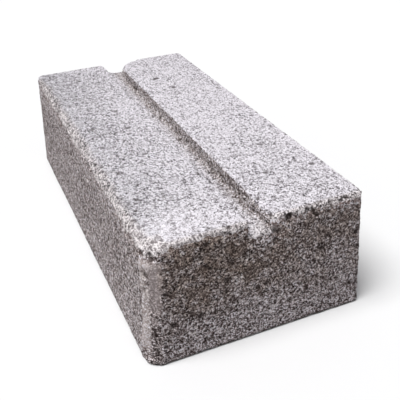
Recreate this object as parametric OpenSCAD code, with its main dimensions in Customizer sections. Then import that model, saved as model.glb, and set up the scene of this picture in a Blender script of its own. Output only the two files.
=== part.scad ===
// A cement sand brick, pressed in one piece, with one mortar groove along its top.
// X runs along the brick, Y across it and Z up. The origin is at the middle of the base.
// The groove is open at both ends, where the ridge on its +Y side has rounded corners. The
// upright corner where the +X end meets the -Y side is much rounder than the other three.
// Both long sides lean inwards going up, which lets the brick out of its mould.

/* [Brick] */
// Length of the brick along X
brick_length = 215; // [150:1:300]
// Width of the brick along Y, at its base
brick_width = 104; // [80:1:160]
// Height of the brick from its base to its top
brick_height = 60; // [40:1:110]
// Lean of both long sides from upright, inwards going up
side_lean = 2.7; // [0.5:0.1:5]

/* [Mortar groove] */
// Width of the groove's flat floor
groove_floor_width = 9; // [6:0.5:25]
// Depth of the groove below the top
groove_depth = 7.5; // [4:0.5:15]
// Distance from the brick's centre line to the middle of the groove's floor, towards +Y
groove_offset = -0.5; // [-10:0.5:10]
// Lean of both groove walls from upright, opening upwards
groove_wall_lean = 4; // [2:1:20]
// Radius of the shoulders where both groove walls meet the top
shoulder_radius = 1.5; // [0.5:0.1:3.5]
// Radius, seen from above, of the +Y ridge's corner at the groove's -X mouth
wide_mouth_radius = 13; // [2:1:25]
// Radius, seen from above, of the +Y ridge's corner at the groove's +X mouth
tight_mouth_radius = 4; // [2:1:25]

/* [Edges] */
// Radius of the round upright corner at the +X end of the -Y side
round_corner_radius = 9; // [2:0.5:20]
// Radius of the other three upright corners
corner_radius = 2; // [1:0.5:10]
// Radius of the worn top edge along the -Y side
worn_edge_radius = 4; // [1:0.5:10]
// Radius of the other three top edges
top_edge_radius = 1.5; // [0.5:0.5:8]
// Radius of the four edges round the base
base_edge_radius = 1; // [0.5:0.5:5]

/* [Hidden] */
$fn = 96;

// How far a cut runs past the face that it opens
overrun = 5;

// How far a rounding stands off the two faces that it joins, so that it crosses both cleanly
stand_off = 0.001;

// Height of the groove's floor, where it ends on each side, and how far its walls spread above it
floor_height = brick_height - groove_depth;
floor_near = groove_offset - groove_floor_width / 2;
floor_far = groove_offset + groove_floor_width / 2;
wall_spread = groove_depth * tan(groove_wall_lean);

// What rounding takes off a corner that points along +X and +Y, with the corner at the origin.
// The face on its right leans outwards by lean degrees as it goes down.
module corner_waste(radius, lean = 0) {
    reach = radius / tan(45 + lean / 2);
    difference() {
        polygon([
            [-reach, overrun],
            [-reach, 0],
            [reach * sin(lean), -reach * cos(lean)],
            [reach * sin(lean) + overrun, -reach * cos(lean)],
            [reach * sin(lean) + overrun, overrun]
        ]);
        translate([-reach, -radius]) circle(r = radius + stand_off);
    }
}

// An outline standing on its base, with two top corners and two base corners rounded.
// Its left and right sides lean inwards by lean degrees going up.
module upright_outline(width, left_top_radius, right_top_radius, lean = 0) {
    half_base = width / 2;
    half_top = half_base - brick_height * tan(lean);
    difference() {
        polygon([[-half_base, 0], [half_base, 0], [half_top, brick_height], [-half_top, brick_height]]);
        translate([half_top, brick_height]) corner_waste(right_top_radius, lean);
        translate([-half_top, brick_height]) mirror([1, 0]) corner_waste(left_top_radius, lean);
        translate([half_base, 0]) mirror([0, 1]) corner_waste(base_edge_radius, -lean);
        translate([-half_base, 0]) rotate(180) corner_waste(base_edge_radius, -lean);
    }
}

// The groove's outline, seen along the brick: floor, two leaning walls and two shoulders
module groove_outline() {
    polygon([
        [floor_near, floor_height],
        [floor_far, floor_height],
        [floor_far + wall_spread, brick_height],
        [floor_far + wall_spread, brick_height + overrun],
        [floor_near - wall_spread, brick_height + overrun],
        [floor_near - wall_spread, brick_height]
    ]);
    translate([floor_near - wall_spread, brick_height]) corner_waste(shoulder_radius, groove_wall_lean);
    translate([floor_far + wall_spread, brick_height])
        mirror([1, 0]) corner_waste(shoulder_radius, groove_wall_lean);
}

// The section across the brick
module cross_section() {
    difference() {
        upright_outline(brick_width, worn_edge_radius, top_edge_radius, side_lean);
        groove_outline();
    }
}

// What rounding takes off one upright corner, with the foot of that corner at the origin.
// Quarter 0 points along +X and +Y, and the others follow it round the brick.
// The corner leans back from its Y side by lean degrees going up.
module upright_corner_waste(quarter, radius, lean) {
    side_y = quarter < 2 ? 1 : -1;
    rotate([side_y * lean, 0, 0])
        linear_extrude(2 * (brick_height + overrun), center = true)
        rotate(quarter * 90) corner_waste(radius);
}

// The waste of one of the brick's own four upright corners
module brick_corner_waste(quarter, radius) {
    side_x = quarter == 0 || quarter == 3 ? 1 : -1;
    side_y = quarter < 2 ? 1 : -1;
    translate([side_x * brick_length / 2, side_y * brick_width / 2, 0])
        upright_corner_waste(quarter, radius, side_lean);
}

// The waste of the +Y ridge's corner at one mouth of the groove, down to the groove's floor.
// Quarter 2 is at the -X mouth and quarter 3 at the +X mouth.
module mouth_corner_waste(quarter, radius) {
    side_x = quarter == 3 ? 1 : -1;
    cut_height = groove_depth + overrun;
    intersection() {
        translate([side_x * brick_length / 2, floor_far, floor_height])
            upright_corner_waste(quarter, radius, groove_wall_lean);
        translate([0, 0, floor_height + cut_height / 2])
            cube([2 * brick_length, 2 * brick_width, cut_height], center = true);
    }
}

// The whole brick: where its section across and its section along agree, less its rounded corners
module brick() {
    color([0.68, 0.66, 0.66])
    difference() {
        intersection() {
            rotate([90, 0, 90]) linear_extrude(brick_length + 2 * overrun, center = true) cross_section();
            rotate([90, 0, 0]) linear_extrude(brick_width + 2 * overrun, center = true)
                upright_outline(brick_length, top_edge_radius, top_edge_radius);
        }
        for (quarter = [0:2]) brick_corner_waste(quarter, corner_radius);
        brick_corner_waste(3, round_corner_radius);
        mouth_corner_waste(2, wide_mouth_radius);
        mouth_corner_waste(3, tight_mouth_radius);
    }
}

brick();
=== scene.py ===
import math

import bmesh
import bpy
import numpy as np
from mathutils import Euler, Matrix, Vector, kdtree, noise


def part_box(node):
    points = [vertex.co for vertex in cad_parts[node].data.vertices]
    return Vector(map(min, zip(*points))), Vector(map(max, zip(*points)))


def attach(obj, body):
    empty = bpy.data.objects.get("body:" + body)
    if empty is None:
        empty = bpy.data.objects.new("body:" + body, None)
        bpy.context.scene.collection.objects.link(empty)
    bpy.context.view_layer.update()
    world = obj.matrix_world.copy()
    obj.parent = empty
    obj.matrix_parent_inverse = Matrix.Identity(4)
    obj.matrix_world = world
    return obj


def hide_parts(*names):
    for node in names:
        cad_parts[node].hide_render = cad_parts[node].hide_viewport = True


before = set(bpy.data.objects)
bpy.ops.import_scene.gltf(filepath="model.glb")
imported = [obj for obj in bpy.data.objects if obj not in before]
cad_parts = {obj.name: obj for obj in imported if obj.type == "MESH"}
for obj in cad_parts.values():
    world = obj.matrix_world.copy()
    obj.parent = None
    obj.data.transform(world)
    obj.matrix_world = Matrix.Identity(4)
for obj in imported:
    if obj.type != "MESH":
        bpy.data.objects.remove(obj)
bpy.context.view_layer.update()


# ---------------------------------------------------------------------------
# Studio. A pale card floor in a plain white room, lit softly from above by one
# wide lamp, with the room's own light filling in. None of it belongs to the brick.

FLOOR_HALF_WIDTH = 3.0
FLOOR_SHOWN = (0.80, 0.80, 0.80, 1.0)
FLOOR_BOUNCE = (0.30, 0.29, 0.285, 1.0)
ROOM_SHOWN = (1.0, 1.0, 1.0, 1.0)
ROOM_LIGHT = (0.27, 0.27, 0.28, 1.0)
LAMP_STRENGTH = 3.4
LAMP_ANGLE = math.radians(34)
LAMP_FROM = Vector((0.12, -0.38, 0.92))


def add_node(tree, kind, **settings):
    """A new shader node, with its settings."""
    made = tree.nodes.new(kind)
    for name, value in settings.items():
        setattr(made, name, value)
    return made


def seen_directly(tree):
    """1 for what the camera or a reflection shows, 0 for the light that lands on things."""
    path = add_node(tree, "ShaderNodeLightPath")
    seen = path.outputs["Is Camera Ray"]
    for other in ("Is Glossy Ray", "Is Transmission Ray"):
        either = add_node(tree, "ShaderNodeMath", operation="MAXIMUM")
        tree.links.new(seen, either.inputs[0])
        tree.links.new(path.outputs[other], either.inputs[1])
        seen = either.outputs[0]
    return seen


def show_and_give(tree, output, kind, shown, given):
    """Shows one colour directly, and gives the light of another to everything else."""
    tree.nodes.clear()
    mix = add_node(tree, "ShaderNodeMixShader")
    tree.links.new(seen_directly(tree), mix.inputs[0])
    for colour, socket in ((given, mix.inputs[1]), (shown, mix.inputs[2])):
        plain = add_node(tree, kind)
        plain.inputs["Color"].default_value = colour
        tree.links.new(plain.outputs[0], socket)
    out = add_node(tree, output)
    tree.links.new(mix.outputs[0], out.inputs["Surface"])


floor_shape = bmesh.new()
bmesh.ops.create_grid(floor_shape, x_segments=2, y_segments=2, size=FLOOR_HALF_WIDTH)
floor_mesh = bpy.data.meshes.new("floor")
floor_shape.to_mesh(floor_mesh)
floor_shape.free()
floor = bpy.data.objects.new("floor", floor_mesh)
bpy.context.scene.collection.objects.link(floor)

card = bpy.data.materials.new("pale_card")
card.use_nodes = True
show_and_give(
    card.node_tree, "ShaderNodeOutputMaterial", "ShaderNodeBsdfDiffuse", FLOOR_SHOWN, FLOOR_BOUNCE
)
floor_mesh.materials.append(card)

room = bpy.data.worlds.new("white_room")
room.use_nodes = True
show_and_give(
    room.node_tree, "ShaderNodeOutputWorld", "ShaderNodeBackground", ROOM_SHOWN, ROOM_LIGHT
)
bpy.context.scene.world = room

lamp_data = bpy.data.lights.new("soft_lamp", "SUN")
lamp_data.energy = LAMP_STRENGTH
lamp_data.angle = LAMP_ANGLE
lamp = bpy.data.objects.new("soft_lamp", lamp_data)
lamp.location = LAMP_FROM
lamp.rotation_euler = LAMP_FROM.to_track_quat("Z", "Y").to_euler()
bpy.context.scene.collection.objects.link(lamp)


# ---------------------------------------------------------------------------
# Camera. It stands at the brick's +X end, a little to the -Y side, and looks down
# along the groove, tipped slightly clockwise.

CAMERA_AT = Vector((0.2991, -0.1031, 0.1996))
CAMERA_AIM = Vector((0.0064, 0.0156, 0.0300))
CAMERA_SENSOR = 36.0
CAMERA_LENS = 58.0
CAMERA_TIP = math.radians(2.33)
CAMERA_SHIFT = -0.075
CAMERA_NEAREST = 0.01

camera_data = bpy.data.cameras.new("camera")
camera_data.sensor_width = CAMERA_SENSOR
camera_data.lens = CAMERA_LENS
camera_data.shift_y = CAMERA_SHIFT
camera_data.clip_start = CAMERA_NEAREST
camera = bpy.data.objects.new("camera", camera_data)
camera.location = CAMERA_AT
aimed = (CAMERA_AIM - CAMERA_AT).to_track_quat("-Z", "Y")
tipped = Euler((0.0, 0.0, -CAMERA_TIP)).to_quaternion()
camera.rotation_euler = (aimed @ tipped).to_euler()
bpy.context.scene.collection.objects.link(camera)
bpy.context.scene.camera = camera
bpy.context.scene.view_settings.view_transform = "Standard"


# ---------------------------------------------------------------------------
# The brick. Cement and sharp sand pressed hard in a steel mould, so its faces are flat
# but open-grained, full of pores and loose at the arrises. One upright corner was
# knocked flat while green, and there the cement closed into a smooth skin.

MM = 1000  # in a metre

# Sizes and places in this section are in millimetres, from the middle of the base. The
# shoulders are the two edges of the groove, and the ridge beyond the far one turns away in
# a round at each mouth.
MESH_STEP = 0.95
SIDE_LEAN = math.radians(2.7)
NEAR_SHOULDER = -5.6
FAR_SHOULDER = 4.6
GROOVE_DEPTH = 7.5
WIDE_MOUTH = 13.0
TIGHT_MOUTH = 4.0
ROUND_CORNER = 9.0

low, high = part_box("brick")
half_length = (high.x - low.x) / 2 * MM
half_width = (high.y - low.y) / 2 * MM
height = high.z * MM

# An even, fine mesh over the shape as cast
SAME_PLACE = 0.01

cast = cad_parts["brick"].data.copy()
joined = bmesh.new()
joined.from_mesh(cast)
bmesh.ops.remove_doubles(joined, verts=joined.verts, dist=SAME_PLACE / MM)
joined.to_mesh(cast)
joined.free()
brick = bpy.data.objects.new("sand_brick", cast)
bpy.context.scene.collection.objects.link(brick)
even = brick.modifiers.new("even_mesh", "REMESH")
even.mode = "VOXEL"
even.voxel_size = MESH_STEP / MM
bpy.context.view_layer.update()
surface = bpy.data.meshes.new_from_object(
    brick.evaluated_get(bpy.context.evaluated_depsgraph_get())
)
brick.modifiers.clear()
brick.data = surface
surface.name = "sand_brick"
count = len(surface.vertices)
edge_ends = np.zeros(len(surface.edges) * 2, int)
surface.edges.foreach_get("vertices", edge_ends)
neighbours = np.bincount(edge_ends, minlength=count)
edge_ends = edge_ends.reshape(-1, 2)


def look(what):
    """Each vertex's place, or the way it faces."""
    values = np.zeros(count * 3)
    surface.vertices.foreach_get(what, values)
    return values.reshape(-1, 3) * (MM if what == "co" else 1)


def put_back(places):
    """Moves the vertices to those places."""
    surface.vertices.foreach_set("co", (places / MM).ravel())
    surface.update()


def relax(places, share):
    """Moves each vertex that share of the way to the middle of its neighbours."""
    total = np.zeros_like(places)
    np.add.at(total, edge_ends[:, 0], places[edge_ends[:, 1]])
    np.add.at(total, edge_ends[:, 1], places[edge_ends[:, 0]])
    return places + (total / neighbours[:, None] - places) * share[:, None]


def smooth(value, start, end):
    """0 before start, 1 after end, and a soft step between them."""
    t = np.clip((value - start) / (end - start), 0, 1)
    return t * t * (3 - 2 * t)


def lumps(size, seed):
    """A smooth random height at each vertex, about -1 to 1, with lumps of that size."""
    shift = Vector((seed * 17.31, seed * 5.17, seed * 9.73))
    return np.array([noise.noise(p / size + shift) for p in points]) * 1.6


def stones(size, seed):
    """Splits the brick into stones of that size. For each vertex: how far it lies from the
    middle of its stone, and that stone's own random number, 0 to 1."""
    shift = Vector((seed * 7.13, seed * 3.71, seed * 11.9))
    away = np.zeros(count)
    pick = np.zeros(count)
    for index, p in enumerate(points):
        distances, centres = noise.voronoi(p / size + shift)
        away[index] = distances[0]
        pick[index] = noise.cell(centres[0] * 19.7) % 1.0
    return away, pick


CLOSEST = 0.01  # to a round corner's centre, so that nothing is divided by 0


def outline():
    """Seen from above: how far each vertex lies inside the outline, and which way is out."""
    half = half_width - z * math.tan(SIDE_LEAN)
    over_x = x - (half_length - ROUND_CORNER)
    over_y = -y - (half - ROUND_CORNER)
    turning = (over_x > 0) & (over_y > 0)
    from_middle = np.maximum(np.hypot(over_x, over_y), CLOSEST)
    to_end = half_length - abs(x)
    to_side = half - abs(y)
    reach = np.where(turning, ROUND_CORNER - from_middle, np.minimum(to_end, to_side))
    out_x = np.where(turning, over_x / from_middle, np.sign(x) * (to_end < to_side))
    out_y = np.where(turning, -over_y / from_middle, np.sign(y) * (to_end >= to_side))
    return reach, out_x, out_y


def ridge_outline():
    """The same for the +Y ridge along the groove, whose corners turn away at the mouths."""
    reach = y - FAR_SHOULDER
    out_x = np.zeros(count)
    out_y = -np.ones(count)
    for side, radius in ((-1, WIDE_MOUTH), (1, TIGHT_MOUTH)):
        along = side * x - (half_length - radius)
        over = y - (FAR_SHOULDER + radius)
        turning = (along > 0) & (over < 0)
        from_middle = np.maximum(np.hypot(along, over), CLOSEST)
        reach = np.where(turning, radius - from_middle, reach)
        out_x = np.where(turning, side * along / from_middle, out_x)
        out_y = np.where(turning, over / from_middle, out_y)
    return reach, out_x, out_y


def outwards(out_x, out_y, lean):
    """The way out of a worn arris at that lean."""
    level = np.cos(np.radians(lean))
    return np.stack([out_x * level, out_y * level, np.sin(np.radians(lean))], axis=1)


TINY = 1e-6  # likewise


def beyond(reach, drop, wide, deep):
    """How far a vertex stands out from an arris worn to an oval round, wide across the top
    and deep down the side; and its lean, 90 degrees on the top, 0 on the side."""
    past_x = np.clip(wide - reach, 0, None) / wide
    past_z = np.clip(deep - drop, 0, None) / deep
    far_out = np.hypot(past_x, past_z)
    slope = np.hypot(past_x / wide, past_z / deep) + TINY
    out = np.clip((far_out - 1) * far_out / slope, 0, None)
    lean = np.degrees(np.arctan2(past_z / deep, past_x / wide + TINY))
    return out, np.where(past_x * past_z > 0, lean, 90.0 * (past_z > 0))


# The arrises along the top are worn: broadly on the -Y side, in a dome over the knocked
# corner, less at the +X end, and at both mouths of the groove. Each round of wear takes
# off a little and evens it out.
ARRIS_WIDE = 2.6
ARRIS_DEEP = 2.4
SIDE_WIDER = 4.4
SIDE_DEEPER = 4.0
END_MORE = 0.8
CRISPER = 0.7
MOUTH_WEAR = 5.0
LIP_WIDE = 3.2
LIP_DEEP = 3.4
WEAR_ROUNDS = 5
MOST_IN_A_ROUND = 0.9
LEAST_WORN = 0.05
EVENED_OUT = 0.6

place = look("co")
points = [Vector(p) for p in place]
wander = lumps(11.0, 12)
for _ in range(WEAR_ROUNDS):
    facing = look("normal")
    x, y, z = place.T
    below_top = height - z

    # The outline's own arris, crisper at the -X end and all along the +Y side
    on_side = smooth(-y, 38.0, 46.0)
    at_end = smooth(x, 92.0, 103.0)
    long_side = on_side * smooth(x, -104.0, -84.0)
    reach, out_x, out_y = outline()
    crisp = 1 - CRISPER * np.maximum(smooth(-x, 98.0, 104.0), abs(out_y) * (y > 0))
    wide = ARRIS_WIDE + SIDE_WIDER * long_side + END_MORE * at_end
    wide *= crisp * (1 + 0.2 * wander)
    deep = ARRIS_DEEP + SIDE_DEEPER * long_side + END_MORE * at_end
    deep *= crisp * (1 + 0.3 * wander)
    out, lean = beyond(reach, below_top, wide, deep)
    facing = np.where((out > 0)[:, None], outwards(out_x, out_y, lean), facing)

    # The +Y ridge's round corners at the groove's mouths
    ridge, ridge_x, ridge_y = ridge_outline()
    mouth_out, mouth_lean = beyond(ridge, below_top, MOUTH_WEAR, MOUTH_WEAR - 1.0 * (x > 0))
    on_ridge = (y > FAR_SHOULDER - 1.0) & (below_top < GROOVE_DEPTH - 0.7)
    mouth_out *= smooth(abs(x), 88.0, 101.0) * on_ridge
    facing = np.where((mouth_out > out)[:, None], outwards(ridge_x, ridge_y, mouth_lean), facing)

    # The lip where the groove's floor runs out at the +X end
    lip_out = beyond(half_length - x, below_top - GROOVE_DEPTH, LIP_WIDE, LIP_DEEP)[0]
    lip_out *= (y > NEAR_SHOULDER) & (y < FAR_SHOULDER + 3.0)
    lip_out *= (below_top > GROOVE_DEPTH - 1.0) & (x > 0)

    off = np.maximum(out, np.maximum(mouth_out, lip_out))
    place = place - facing * np.minimum(off, MOST_IN_A_ROUND)[:, None]
    place = relax(place, EVENED_OUT * (off > LEAST_WORN))
    put_back(place)

facing = look("normal")
face_x, face_y, face_z = facing.T
points = [Vector(p) for p in place]
x, y, z = place.T
below_top = height - z

# Faces: how far each vertex belongs to the top, to the +X end, to the groove and to the
# soil and painted shade on its floor along the +Y wall. Worn arrises count more with the top:
# partly rubbed pale, partly painted highlight where they turn up to the light.
reach, out_x, out_y = outline()
worn = (reach < wide) & (below_top < deep)
# Worn arrises: partly rubbed pale, partly painted highlight
wear_and_highlight = 0.18 + smooth(x, 100.0, 105.0) * (0.14 + 0.12 * smooth(-y, 4.0, 12.0))
up = smooth(face_z + wear_and_highlight * worn, 0.22, 0.62)
on_end = smooth(face_x, 0.45, 0.85)
across_groove = np.minimum(y - NEAR_SHOULDER, FAR_SHOULDER - y)
in_groove = smooth(below_top, 1.5, 4.0) * smooth(across_groove, -9.0, -7.5)
in_groove *= abs(x) < half_length - 0.5
# Soil, and painted shade, on the groove's floor along the foot of its +Y wall
soil_and_shade = in_groove * smooth(y + 0.5 * lumps(3.0, 31), 0.4, 2.6) * smooth(half_length - x, 4.0, 16.0)
up *= 1 - 0.5 * soil_and_shade

# Each distance runs from a vertex to a line where two faces meet
to_faces = np.stack([half_length - abs(x), half_width - z * math.tan(SIDE_LEAN) - abs(y), below_top, z])
to_arris = np.sort(to_faces, axis=0)[1]
to_shoulder = np.hypot(np.minimum(abs(y - NEAR_SHOULDER), abs(ridge_outline()[0])), below_top)

# The corner that was knocked flat: a facet between two soft arrises. Turned is the angle
# round the corner in radians, from 0 on the end to a quarter turn on the side.
NOT_TURNED = -9.0

on_corner = (abs(out_x) > 0) & (out_y < 0)
turned = np.where(on_corner, np.arctan2(-out_y, out_x), NOT_TURNED)
up = np.maximum(up, on_corner * smooth(z + 0.02 * np.degrees(turned), 55.5, 57.5))
at_foot = 1 - smooth(z, 0.0, 22.0)

# The middle of the facet and half its width, in degrees: it turns and widens at the foot
facet_middle = np.radians(42 + 8 * at_foot)
facet_half = np.radians(22 + 15.5 * at_foot)
off_middle = abs(turned - facet_middle)
chord = np.cos(facet_half) / np.cos(np.minimum(off_middle, 1.2))
facet = np.where(off_middle < facet_half, 1 - chord, 0)
facet *= ROUND_CORNER * smooth(np.hypot(face_x, face_y), 0.5, 0.9) * (1 - 0.1 * at_foot)

# Closed skin, with a ragged edge: on the facet, and a little at the groove's mouth
SKIN_TURN = math.radians(35.5)
SKIN_TOP = 52.0

ragged = lumps(5.0, 3) * 2.0 + lumps(1.8, 4) * 1.4
off_skin = abs(turned - SKIN_TURN) + 0.10 * ragged
skin = (1 - smooth(off_skin, 0.25, 0.42)) * smooth(z + 4 * ragged, 18.0, 34.0) * on_corner
skin *= smooth(SKIN_TOP - z + 0.5 * ragged, 0.0, 2.0)
from_mouth = np.hypot((x - 107.0) / 0.9, y + 2.0)
mouth_skin = 0.5 * (1 - smooth(from_mouth + ragged * 0.5, 1.0, 4.0)) * smooth(face_z, 0.3, 0.6)
skin = np.maximum(skin, mouth_skin)

# Grain and unevenness, all cut into the face, so the brick keeps its size. Each term is a
# depth, and the facet's two arrises stand a little proud at the foot.
loose = 1.0 - 0.85 * skin
crown, crown_pick = stones(2.1, 5)
rough = 0.35 + 0.40 * (1 - up)
cut = 0.10 + 0.12 * lumps(40.0, 1) * (1 - 0.5 * up)
cut += loose * rough * (0.30 * crown + 0.22 * crown_pick + 0.10 * lumps(1.5, 6))
cut += facet - 0.6 * on_corner * at_foot * np.exp(-((off_middle - facet_half) / 0.10) ** 2)

# Chips off the arrises, stone by stone, and crumbling between them
DEEPEST_CHIP = 2.0
DEEPEST_SHOULDER_CHIP = 1.2

stone_pick = stones(4.0, 8)[1]
above_foot = smooth(z, 1.0, 6.0)
wear = (0.30 + 0.30 * smooth(x, 92.0, 104.0) * smooth(z, 45.0, 52.0)) * above_foot
chips = np.clip(stone_pick - 0.62, 0, 1) * 6.0 * wear - 0.8 * to_arris
shoulder_chips = np.clip(stone_pick - 0.60, 0, 1) * 3.2 - 0.9 * to_shoulder
near = 1 - smooth(np.minimum(to_arris, to_shoulder), 0.0, 4.0)
crumble = near * np.clip(lumps(2.1, 9) + 0.2, 0, 1) * 0.4 * above_foot
cut += loose * (
    np.clip(chips, 0, DEEPEST_CHIP) + np.clip(shoulder_chips, 0, DEEPEST_SHOULDER_CHIP) + crumble
)

# Above the skin the corner is broken: cavities with a ledge under them
LEDGE_HEIGHT = 49.8
LEDGE_TURN = math.radians(58)

from_ledge = ((z - LEDGE_HEIGHT) / 2.0) ** 2 + ((turned - LEDGE_TURN) / 0.5) ** 2
ledge = np.where(on_corner, np.exp(-from_ledge), 0)
cut -= 0.7 * ledge

# At the -X mouth a little mix was left on the groove's floor, against the -Y ridge
on_floor = (across_groove > -0.6) & (below_top > 3.0)
cut -= 1.5 * on_floor * smooth(-x, 80.0, 104.0) * (1 - smooth(y, -3.0, 3.5))

# Pores and lost grains: many small ones at random, and the larger ones that stand out
PIT_SEED = 11

dice = np.random.RandomState(PIT_SEED)
find = kdtree.KDTree(count)
for index, point in enumerate(points):
    find.insert(point, index)
find.balance()
pit = np.zeros(count)


def dig(centre, radius, depth):
    """One pore, deepest in its middle."""
    for _, index, distance in find.find_range(Vector(centre), radius):
        share = max(0.0, 1 - (distance / radius) ** 2)
        pit[index] = max(pit[index], depth * share ** 0.8)


# The chance of a small pore: more on the end and the walls, along the groove's shoulders,
# and most in a loose band below the worn arris of the -Y side
chance = 0.0034 + 0.0018 * on_end + 0.0045 * (1 - up) * (1 - 0.5 * on_corner)
chance += 0.0030 * in_groove * (1 - up) + 0.0040 * (1 - smooth(to_shoulder, 1.0, 5.0))
loose_band = on_side * smooth(z, 36.0, 46.0) * (1 - smooth(z, 54.0, 57.0))
chance += 0.0100 * loose_band * smooth(x, -70.0, -30.0)
for index in np.nonzero(dice.random_sample(count) < chance)[0]:
    size = 0.6 + 0.8 * dice.random_sample() ** 2.5
    dig(points[index], size + 0.3, size)

# Each one that stands out: its middle, radius and depth. The end lies at x 107.5, the top
# at z 60 and the -Y side near y -50.
STANDING_OUT = [
    # At the groove's mouth
    ((107.5, 13.5, 56.5), 2.2, 2.4),
    ((107.5, 13, 54.5), 1.3, 1.5),
    ((107, 8.5, 50.5), 1.8, 2.2),
    ((107, 6.5, 51.5), 1.2, 1.5),
    # In a broken row along the end arris
    ((107.5, 22, 57.5), 1.1, 1.3),
    ((106, 22.5, 60), 1.0, 1.0),
    ((107.5, 24.5, 56.5), 1.3, 1.6),
    ((107.5, 25.5, 55), 1.0, 1.4),
    ((107.5, 26.5, 53.5), 1.2, 1.5),
    ((107, 33, 58), 1.3, 1.6),
    ((107.5, 33.5, 56), 0.9, 1.3),
    ((107.5, 32, 54), 0.9, 1.2),
    ((107, 38, 57.5), 1.1, 1.5),
    ((106.5, 40.5, 58.5), 1.2, 1.8),
    ((107, 41.5, 57.5), 1.3, 1.8),
    ((105, 47, 60), 1.1, 1.2),
    ((105.5, 49, 60), 1.2, 1.3),
    ((107.5, -16, 57), 0.9, 1.3),
    ((107.5, -14, 56.5), 1.0, 1.4),
    ((105.5, -22.5, 60), 0.8, 0.8),
    ((106, -20, 60), 0.8, 0.9),
    # On the end
    ((107.5, 47.5, 39), 1.6, 1.8),
    ((107.5, 46, 11.5), 1.6, 1.4),
    ((107.5, 38.5, 51), 1.0, 1.3),
    ((107.5, 39.5, 49.5), 1.0, 1.2),
    ((107.5, 38, 42), 1.1, 1.1),
    ((107.5, -23.5, 54), 1.2, 1.5),
    ((107.5, -26, 52.5), 1.2, 1.5),
    ((107.5, -28, 55.5), 0.9, 1.3),
    ((107.5, -26.5, 48.5), 1.1, 1.2),
    ((107.5, -24.5, 44), 1.1, 1.3),
    ((107.5, -22.5, 42), 1.1, 1.3),
    ((107.5, -30, 40), 0.9, 1.2),
    ((107.5, -33.5, 42.5), 0.9, 1.1),
    ((107.5, -42, 52.5), 0.9, 1.3),
    ((107.5, -40.5, 50.5), 0.9, 1.2),
    ((107, -42, 35), 1.3, 1.8),
    ((107, -44, 38.5), 1.0, 1.2),
    ((107, -44, 36), 0.9, 1.2),
    # Broken out above the corner
    ((99.5, -49.5, 53.5), 1.5, 2.0),
    ((101, -49, 53.5), 1.5, 2.0),
    ((104, -47, 54.5), 1.3, 2.0),
    ((106.5, -43.5, 55.5), 1.0, 1.6),
    ((106, -44, 52.5), 0.8, 1.2),
    # On the upright corner's -Y side
    ((93.5, -50, 40), 1.3, 1.3),
    ((92.5, -50, 48), 1.0, 1.2),
    ((103, -48.5, 45.5), 1.0, 1.2),
    ((102, -49.5, 37), 1.1, 1.1),
    ((86, -50, 43.5), 1.4, 1.3),
    # On the top
    ((-66.5, 18, 60), 2.4, 2.0),
    ((-65.5, 16, 60), 1.6, 1.4),
    ((-46.5, 22, 60), 2.0, 1.6),
    ((-2, -21, 60), 1.4, 1.1),
    ((5, -22, 60), 1.5, 1.2),
    ((34, -45.5, 59.5), 1.5, 1.2),
    ((44, -40, 60), 1.5, 1.2),
    ((70.5, -40, 60), 1.4, 1.2),
    ((71.5, -38.5, 60), 1.2, 1.1),
    ((79, -43, 60), 1.2, 1.0),
    ((70, -28, 60), 1.2, 1.0),
    ((73.5, -28.5, 60), 1.2, 1.0),
    ((59.5, -7.5, 60), 1.3, 1.1),
    ((40, 19.5, 60), 1.5, 1.2),
    # A crack down over the worn arris
    ((83, -48.5, 57), 1.2, 1.7),
    ((85, -47.5, 58.5), 1.2, 1.6),
    ((85.5, -46, 59.5), 1.1, 1.3),
    ((84, -49, 55.5), 1.1, 1.4),
    ((82, -49.5, 52), 1.1, 1.4),
    ((81, -50, 48), 1.1, 1.3),
    # In the groove, at the foot of the +Y ridge
    ((10, 3, 53), 1.6, 1.2),
    ((18.5, 4, 54), 1.5, 1.2),
    ((51, 3.5, 53), 1.7, 1.3),
    ((56.5, 4, 54.5), 1.6, 1.2),
    ((78.5, 4, 55), 1.5, 1.4),
    ((81.5, 3, 53), 1.4, 1.3),
    ((85, 4.5, 57), 1.3, 1.3),
    # On the -Y side
    ((76.5, -50, 41.5), 1.2, 1.2),
    ((52.5, -50.5, 31.5), 1.6, 1.4),
    ((-7, -50, 40.5), 1.6, 1.2),
    ((-1.5, -50, 40.5), 1.5, 1.2),
    ((8, -50, 38.5), 1.8, 1.3),
    ((40.5, -50, 46), 1.6, 1.4),
    ((41, -50, 41.5), 1.7, 1.4),
    ((66.5, -50, 49), 1.7, 1.4),
    ((66, -50, 45.5), 1.7, 1.4),
]
for centre, radius, depth in STANDING_OUT:
    dig(centre, radius, depth)
pit *= loose
cut += pit

# The underside lies on the ground, so its high points stay level, and the last millimetre
# of the walls flares out to a sharp edge
CLOSER = 0.12
MOST_STANDING_OUT = 1.6
FOOT_FLARE = 0.8

under = smooth(-face_z, 0.6, 0.95)
cut = np.maximum((cut - CLOSER) * (1 - 0.5 * under), -MOST_STANDING_OUT)
moved = place - facing * cut[:, None]
flare = FOOT_FLARE - FOOT_FLARE * np.sqrt(1 - np.clip(1 - z, 0, 1) ** 2)
moved[:, 0] += out_x * flare
moved[:, 1] += out_y * flare
moved[:, 2] -= moved[:, 2].min()
put_back(np.clip(moved, np.array(low) * MM, np.array(high) * MM))
for polygon in surface.polygons:
    polygon.use_smooth = True


def patch(middle, spread):
    """A soft patch round a point: 1 at its middle, fading over that spread each way."""
    away = sum(((p - m) / w) ** 2 for p, m, w in zip((x, y, z), middle, spread))
    return np.exp(-away)


# Tone, 1 for the mix's own. The top is palest along the groove and greyest towards the
# worn -Y side. The end is stained olive brown high up, and the groove is dirty, with
# painted shade on its floor along the foot of the +Y wall.
wall = 1 - up
left_ridge = smooth(-y, 4.0, 10.0)
shade = 1.15 + 0.05 * up - 0.32 * left_ridge * smooth(-y, 8.0, 50.0) * up
shade += 0.05 * lumps(30.0, 21) + 0.04 * lumps(9.0, 22)

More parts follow.
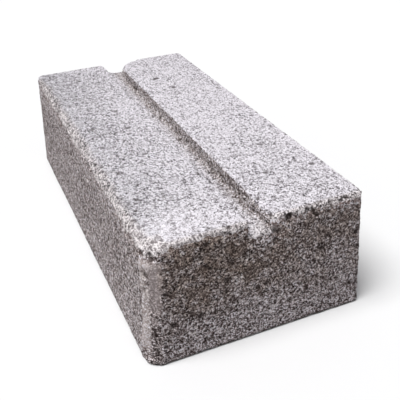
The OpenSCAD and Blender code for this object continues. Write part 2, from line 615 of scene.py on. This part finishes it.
# Paler towards the +X end, up to its arris
shade += 0.07 * smooth(x, 76.0, 92.0) * up * (1 + 0.5 * left_ridge)
shade += 0.07 * smooth(x, 82.0, 92.0) * (1 - smooth(x, 98.0, 103.0)) * up

# The walls are paler low down, but darker at the very foot, where shade is painted, low on
# the end's -Y half and towards the -X end, and mottled
shade += 0.22 * wall * (1 - smooth(z, 8.0, 20.0)) * (1 - 1.5 * on_corner * (turned < 1.0))
# Painted shade along the very foot of the walls, except on the end
painted_foot_shade = wall * (1 - on_end) * (1 - smooth(z, 2.0, 8.0))
shade -= 0.34 * painted_foot_shade * (1 - 0.8 * smooth(turned, 1.1, 1.35))
shade -= 0.16 * on_end * smooth(-y, 0.0, 12.0) * (1 - smooth(z, 16.0, 30.0))
shade -= 0.12 * wall * smooth(-x, 40.0, 85.0) * (1 - smooth(z, 40.0, 52.0))
shade += 0.07 * lumps(3.0, 26) * wall * (1 - on_end) * (1 + smooth(z, 42.0, 48.0))

# Dust and painted highlight lie on the worn arrises and thin out below them, and the -Y one is rubbed
# greyer
# Pale bands below the arrises of the -Y side and of the end: partly dust, partly painted highlight
# where each arris turns up to the light
shade += 0.36 * on_side * (1 - on_end) * smooth(z, 45.0, 53.0) * (1 - smooth(face_z, 0.45, 0.85))
shade += 1.10 * smooth(face_x, 0.2, 0.7) * smooth(z, 51.0, 57.5) * wall
rubbed = worn * on_side * smooth(face_z, 0.4, 0.8)
shade -= 0.05 * rubbed * (1 + 1.5 * smooth(x, 60.0, 90.0) * (1 - on_corner))

# The groove's floor is pale where it is clean, and dark where soil lies on it and where
# shade is painted along the foot of the +Y wall
shade += 0.08 * in_groove * up
shade += soil_and_shade * (0.12 - 0.42 * smooth(face_z, 0.4, 0.9))

# The knocked corner: dull skin, which goes on thinly over the dome, a pale ledge, and a
# pale foot on the -Y side
shade -= 0.08 * skin
shade += 0.15 * ledge
shade += 0.25 * on_corner * smooth(turned, 0.55, 0.85) * (1 - smooth(z, 18.0, 30.0))
skin = np.maximum(skin, 0.5 * patch((97, -38, 60), (14, 14, 8)) * up)

# Patches: how much paler each one is, its middle and its spread
CLEAN_PAD = (107, 1.5, 49.6), (6, 7, 3.6)
ON_TOP = [
    (0.14, (-25, 5, 60), (60, 28, 30)),
    (0.10, (20, 30, 60), (60, 26, 30)),
    (-0.14, (-82, -28, 60), (28, 24, 30)),
    (-0.11, (97, -38, 60), (14, 14, 30)),
    (-0.34, (103, 3, 53), (6, 4, 3)),
]
ON_THE_END = [
    # Below the groove's mouth, a pad of clean mix, free of the brown film
    (0.60, *CLEAN_PAD),
    (0.55, (107, 9.5, 50), (4, 4, 3.5)),
    (0.40, (107, 10, 54), (8, 6, 4.5)),
    # Under the +Y end of the arris, pale with dust and painted highlight
    (0.80, (107, 42, 56), (4, 7, 1.8)),
    (0.25, (107, 41, 52), (4, 7, 3)),
]
ROUND_THE_CORNER = [
    (0.16, (107, -37, 58), (4, 5, 2.5)),
    (0.30, (107, -42, 54.5), (3, 5, 2.5)),
    (-0.28, (98, -50, 57.5), (6, 3, 3)),
    (0.22, (101, -49, 47.5), (6, 3, 3)),
    (0.18, (98, -51, 3), (5, 3, 4)),
]
for patches, face in ((ON_TOP, up), (ON_THE_END, wall), (ROUND_THE_CORNER, 1)):
    for paler, middle, spread in patches:
        shade += paler * patch(middle, spread) * face

# The brown stain on the end, with a ragged lower edge
stain = on_end * smooth(z + 9 * lumps(16.0, 23) + 6 * lumps(6.0, 24), 4.0, 46.0)
stain *= 0.76 + 0.24 * patch((107, -20, 44), (40, 18, 16)) - 0.20 * smooth(y, 0.0, 22.0)
stain *= (1 - 0.8 * patch(*CLEAN_PAD)) * (1 - 0.35 * on_corner)

# Dirt on the groove's walls and floor, and painted shade on the floor, thickest against the +Y ridge
groove_dirt_and_shade = in_groove * (1 - smooth(face_z, 0.5, 0.9))
groove_dirt_and_shade = np.maximum(groove_dirt_and_shade, in_groove * (0.05 + 0.40 * smooth(y, -4.0, 3.0)))

# A seam of cement paste, pale beside the facet, and on the ledge above it
seam_turn = np.radians(66 + 10 * smooth(z, 34.0, 44.0))
seam = np.where(on_corner, 1 - smooth(abs(turned - seam_turn), 0.14, 0.34), 0)
seam = np.maximum(seam * smooth(z, 3.0, 8.0) * (1 - smooth(z, 50.0, 53.0)), ledge)

# Warm sand shows on the worn arrises, over the knocked corner and at the groove's mouth
warm = worn * (1 - smooth(lean, 40.0, 80.0)) + 0.5 * on_corner * up
warm += 0.6 * patch((106, 1, 52), (6, 6, 3)) * (1 - worn)

# How open the grain is: most on the -Y ridge's middle and towards the near end
open_grain = 0.25 + 0.70 * patch((5, -28, 60), (60, 24, 30)) + 0.65 * patch((80, 30, 60), (45, 26, 30))
open_grain += 0.4 * in_groove + 0.35 * left_ridge * smooth(-x, 20.0, 60.0) + 0.35 * lumps(14.0, 25)


def keep(name, value):
    """Stores one number a vertex, for the material."""
    layer = surface.attributes.new(name, "FLOAT", "POINT")
    layer.data.foreach_set("value", np.asarray(value, np.float32))


DEEP_PIT = 1.15

# How deep each pore is, which the material paints dark as its shade
keep("pit", np.clip(pit / DEEP_PIT, 0, 1))
keep("upper", up)
keep("end_face", on_end)
keep("shade", shade)
keep("stain", np.clip(stain, 0, 1))
keep("groove_dirt_and_shade", groove_dirt_and_shade)
keep("skin", skin)
keep("seam", seam)
keep("warm", warm)
keep("open_grain", np.clip(open_grain, 0, 1))
keep("facet", np.clip(facet * 2, 0, 1))

# Material: pale and dark sand grains in grey cement, dry and matt. A scale is a number of
# grains to the metre, so 1400 draws grains of about 0.7 mm.
SIDE_GREY = (0.540, 0.479, 0.474, 1)
END_GREY = (0.605, 0.545, 0.555, 1)
STAIN_BROWN = (0.382, 0.327, 0.308, 1)
FILM_BROWN = (0.292, 0.236, 0.208, 1)
FACET_SHADE_GREY = (0.37, 0.326, 0.326, 1)
PASTE_PALE = (0.70, 0.635, 0.625, 1)
TOP_PALE_AND_LIT = (0.92, 0.894, 0.946, 1)
WARM_PALE = (0.97, 0.91, 0.913, 1)
DIRT_AND_SHADE_GREY = (0.60, 0.548, 0.535, 1)
PIT_SHADE = (0.07, 0.055, 0.05, 1)
TOP_PALEST = (0.965, 0.925, 0.98, 1)
WARM_PALEST = (0.965, 0.91, 0.915, 1)
DRY_SHINE = 0.15

stone = bpy.data.materials.new("pressed_sand_cement")
stone.use_nodes = True
tree = stone.node_tree
tree.nodes.clear()


def wire(source, target):
    """Joins an output to an input, or writes a plain value on it."""
    if isinstance(source, (float, tuple)):
        target.default_value = source
    else:
        tree.links.new(source, target)


def attribute(name):
    """A number kept on the mesh."""
    return add_node(tree, "ShaderNodeAttribute", attribute_name=name).outputs["Fac"]


def maths(operation, first, second):
    """Two numbers put together."""
    node = add_node(tree, "ShaderNodeMath", operation=operation)
    wire(first, node.inputs[0])
    wire(second, node.inputs[1])
    return node.outputs[0]


def blend(factor, first, second, kind="MIX"):
    """From the first colour to the second as the factor goes from 0 to 1. The node has
    sockets for numbers and vectors too, and its colours are the last."""
    node = add_node(tree, "ShaderNodeMix", data_type="RGBA", blend_type=kind)
    wire(factor, node.inputs[0])
    wire(first, node.inputs[6])
    wire(second, node.inputs[7])
    return node.outputs[2]


def times(first, second):
    """One colour multiplied by another."""
    return blend(1.0, first, second, "MULTIPLY")


def grey(level):
    return (level, level, level, 1)


def ramp(value, stops):
    """Greys or colours, read off between those stops."""
    node = add_node(tree, "ShaderNodeValToRGB")
    while len(node.color_ramp.elements) < len(stops):
        node.color_ramp.elements.new(0.5)
    for element, (position, colour) in zip(node.color_ramp.elements, stops):
        element.position = position
        element.color = colour if isinstance(colour, tuple) else grey(colour)
    wire(value, node.inputs[0])
    return node.outputs[0]


def vector(operation, first, second, socket=1):
    """Two vectors put together, or one scaled."""
    node = add_node(tree, "ShaderNodeVectorMath", operation=operation)
    wire(first, node.inputs[0])
    wire(second, node.inputs[socket])
    return node.outputs[0]


where = add_node(tree, "ShaderNodeTexCoord").outputs["Object"]


def speckle(scale, detail=2.0, roughness=0.5, output="Fac"):
    """Cloudy noise."""
    node = add_node(tree, "ShaderNodeTexNoise")
    node.inputs["Scale"].default_value = scale
    node.inputs["Detail"].default_value = detail
    node.inputs["Roughness"].default_value = roughness
    wire(where, node.inputs["Vector"])
    return node.outputs[output]


# Grains lie at random, so their cells are pushed about before they are drawn
PUSH = 1.0

push = vector("SUBTRACT", speckle(800, 1.0, output="Color"), (0.5, 0.5, 0.5))
jumbled = vector("ADD", where, vector("SCALE", push, PUSH / MM, "Scale"))


def cells(scale, feature="F1"):
    """Grains packed side by side."""
    node = add_node(tree, "ShaderNodeTexVoronoi", feature=feature)
    node.inputs["Scale"].default_value = scale
    wire(jumbled, node.inputs["Vector"])
    return node


def pick(cell, channel=0):
    """Each grain's own random number."""
    split = add_node(tree, "ShaderNodeSeparateColor")
    wire(cell.outputs["Color"], split.inputs[0])
    return split.outputs[channel]


def round_ones(cell, number, least, core, rim):
    """1 in the round middle of the few grains whose number is over the least."""
    chosen = ramp(number, [(least, 0.0), (least + 0.01, 1.0)])
    return maths("MULTIPLY", chosen, ramp(cell.outputs["Distance"], [(core, 1.0), (rim, 0.0)]))


grain = cells(1400)
top_grain = cells(1150)
grit = cells(2300)
pebble = cells(500)
hole = cells(660)
to_edge = cells(1400, "DISTANCE_TO_EDGE").outputs["Distance"]
packing = speckle(420, 3.0, 1.0)


def mix_of(grains, grain_stops, grit_stops, packing_stops):
    """The tone of a mix: its grains, the grit among them and how close they are packed."""
    tone = times(ramp(pick(grains), grain_stops), ramp(pick(grit, 1), grit_stops))
    return times(tone, ramp(packing, packing_stops))


# The top: mostly pale, with open pores and pinholes where the grain is open, painted near black as the
# shade inside them
looseness = attribute("open_grain")
open_pores = maths("SUBTRACT", speckle(900, 2.0, 0.9), maths("MULTIPLY", looseness, 0.045))
open_pores = ramp(open_pores, [(0.350, 1.0), (0.368, 0.0)])
hole_number = maths("ADD", pick(hole, 2), maths("MULTIPLY", looseness, 0.23))
pinholes = round_ones(hole, hole_number, 0.98, 0.32, 0.42)
pores = ramp(speckle(1050, 2.0, 0.9), [(0.420, 1.0), (0.440, 0.0)])
top_tone = mix_of(
    top_grain,
    [(0.0, 0.16), (0.17, 0.64), (0.32, 1.0), (1.0, 1.12)],
    [(0.0, 0.08), (0.16, 0.64), (0.29, 1.02), (1.0, 1.08)],
    [(0.38, 0.35), (0.46, 1.0), (0.60, 1.05)],
)
top_tone = blend(maths("MAXIMUM", open_pores, pinholes), top_tone, grey(0.04))
top_tone = blend(maths("MULTIPLY", attribute("warm"), pores), top_tone, grey(0.10))

# The walls: dark and pale by turns, with finer grit where soil has filled the gaps
side_tone = mix_of(
    grain,
    [(0.0, 0.08), (0.35, 0.57), (0.6, 1.32), (1.0, 1.88)],
    [(0.0, 0.08), (0.3, 0.70), (0.55, 1.25), (1.0, 1.75)],
    [(0.38, 0.40), (0.50, 1.0), (0.62, 1.45)],
)
fines = ramp(pick(grit, 0), [(0.0, 0.3), (0.4, 0.9), (1.0, 1.5)])
side_tone = blend(attribute("groove_dirt_and_shade"), side_tone, times(side_tone, fines))

# Brown film lies over the end in blots and dulls the grains, and whole pale grains show
blots = ramp(speckle(150, 4.0, 0.65), [(0.46, 0.0), (0.53, 1.0)])
film = maths("MULTIPLY", attribute("stain"), blots)
pebbles = round_ones(pebble, pick(pebble, 2), 0.84, 0.26, 0.34)
side_tone = blend(maths("MULTIPLY", film, 0.38), side_tone, grey(0.70))
side_tone = blend(maths("MULTIPLY", pebbles, 0.8), side_tone, grey(1.45))
# Pores painted near black, as the shade inside them
side_tone = blend(pores, side_tone, grey(0.05))

# The pale top and the darker walls, the difference partly painted light, meet along a line
# broken grain by grain, and cement paste covers the grains on the skin and the seam
broken = maths("MULTIPLY", maths("SUBTRACT", speckle(620, 2.0, 0.7), 0.5), 1.5)
upper = ramp(maths("ADD", attribute("upper"), broken), [(0.40, 0.0), (0.60, 1.0)])
tone = blend(upper, side_tone, top_tone)
for paste, cover in (("skin", 0.60), ("seam", 0.5)):
    tone = blend(maths("MULTIPLY", attribute(paste), cover), tone, grey(0.95))
# Painted shade in the crevices between grains, left off the skin
crevice_shade = ramp(to_edge, [(0.01, 0.65), (0.10, 1.0)])
tone = times(tone, blend(attribute("skin"), crevice_shade, grey(1.0)))
tone = times(tone, ramp(speckle(170, 3.0, 0.6), [(0.3, 0.92), (0.7, 1.08)]))

base = SIDE_GREY
for amount, its_colour in (
    (attribute("end_face"), END_GREY),
    (attribute("stain"), STAIN_BROWN),
    (film, FILM_BROWN),
    # The knocked facet is painted darker, as shade on a face turned from the light
    (attribute("facet"), FACET_SHADE_GREY),
    (attribute("seam"), PASTE_PALE),
    # The top's pale colour against the greyer walls: partly the mix's own, partly painted light for the
    # stronger light on the top
    (upper, blend(attribute("warm"), TOP_PALE_AND_LIT, WARM_PALE)),
    # Dirt in the groove, and painted shade on its floor towards the +Y ridge
    (attribute("groove_dirt_and_shade"), DIRT_AND_SHADE_GREY),
):
    base = blend(amount, base, its_colour)
colour = times(vector("SCALE", base, attribute("shade"), "Scale"), tone)

# The darker the mix, the browner it is, and the pits are darkest, with shade painted in them
SIDE_BROWNING = [
    (0.0, (1, 0.72, 0.64, 1)),
    (0.25, (1, 0.88, 0.85, 1)),
    (0.7, (1, 0.97, 0.965, 1)),
    (1.0, (1, 1, 1, 1)),
]
TOP_BROWNING = [
    (0.0, (1, 0.92, 0.93, 1)),
    (0.8, (1, 0.99, 0.995, 1)),
    (1.0, (1, 1, 1, 1)),
]

colour = times(colour, blend(upper, ramp(tone, SIDE_BROWNING), ramp(tone, TOP_BROWNING)))
# Pits painted dark, as the shade inside them
colour = blend(maths("MULTIPLY", attribute("pit"), 0.9), colour, PIT_SHADE)

# Nothing in the mix is whiter than its palest sand
colour = vector("MINIMUM", colour, blend(attribute("warm"), TOP_PALEST, WARM_PALEST))

# Relief finer than the mesh: each grain domed, with the pores sunk between them, and
# nearly flat on the skin
GRAIN_DOME = 0.60
SAND_RELIEF = 0.22
PORE_DEPTH = 0.30

dome = maths("MULTIPLY", maths("MINIMUM", to_edge, 0.35), GRAIN_DOME / MM)
sand = maths("MULTIPLY", speckle(1700, 1.0), SAND_RELIEF / MM)
sunk = maths("MULTIPLY", pores, -PORE_DEPTH / MM)
relief = maths("ADD", maths("ADD", dome, sand), sunk)
bare = maths("SUBTRACT", 1.0, maths("MULTIPLY", attribute("skin"), 0.8))
bump = add_node(tree, "ShaderNodeBump")
wire(1.0, bump.inputs["Strength"])
wire(1.0, bump.inputs["Distance"])
wire(maths("MULTIPLY", relief, bare), bump.inputs["Height"])

shader = add_node(tree, "ShaderNodeBsdfPrincipled")
wire(DRY_SHINE, shader.inputs["Specular IOR Level"])
wire(colour, shader.inputs["Base Color"])
wire(ramp(tone, [(0.0, 0.96), (1.0, 0.84)]), shader.inputs["Roughness"])
wire(bump.outputs[0], shader.inputs["Normal"])
stone_out = add_node(tree, "ShaderNodeOutputMaterial")
wire(shader.outputs[0], stone_out.inputs["Surface"])
surface.materials.clear()
surface.materials.append(stone)

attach(brick, "root")
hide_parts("brick")
